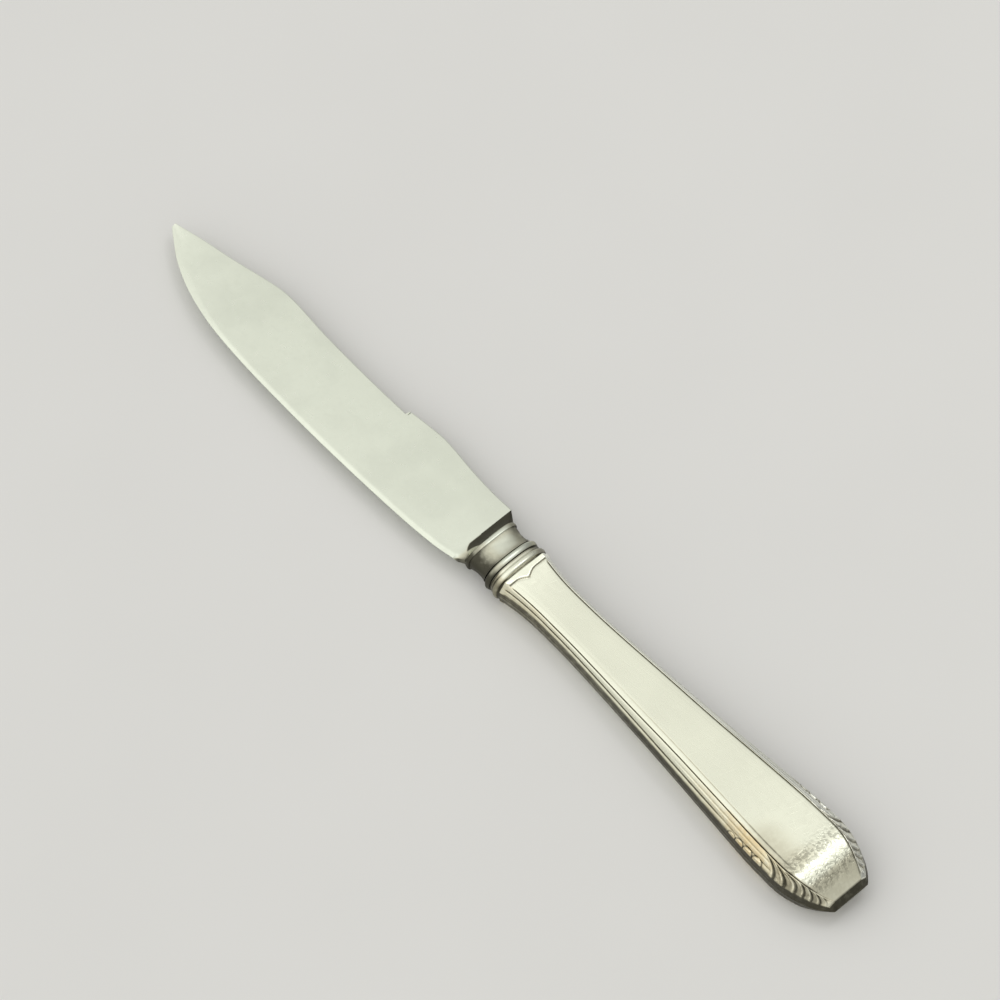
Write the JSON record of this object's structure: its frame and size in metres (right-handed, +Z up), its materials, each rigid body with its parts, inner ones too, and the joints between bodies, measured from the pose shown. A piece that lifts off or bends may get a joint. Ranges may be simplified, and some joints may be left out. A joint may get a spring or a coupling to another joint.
{
  "type": "fish knife",
  "caption": "Table fish knife: a broad flat blade with a notched back and a waisted bolster, on a hollow handle with reeded sides and a faceted butt.",
  "frame": {"origin": "on the surface the knife lies on, under the middle of its length and on the handle's axis", "axes": "+X points along the knife to the tip of the blade, +Y across it to the cutting edge, +Z up out of the face that shows"},
  "size_m": [0.205, 0.0194, 0.0089],
  "materials": {
    "plated_blade": "silver plate, worn to a satin, with hairline scratches",
    "plated_handle": "silver plate, satin, with tarnish in the grooves",
    "solder": "dull solder",
    "cement": "matt handle cement"
  },
  "bodies": {
    "root": {"blade": "plated_blade", "upper_handle_shell": "plated_handle", "lower_handle_shell": "plated_handle", "joint_solder": "solder", "seam_solder": "solder", "handle_cement": "cement"}
  },
  "joints": []
}
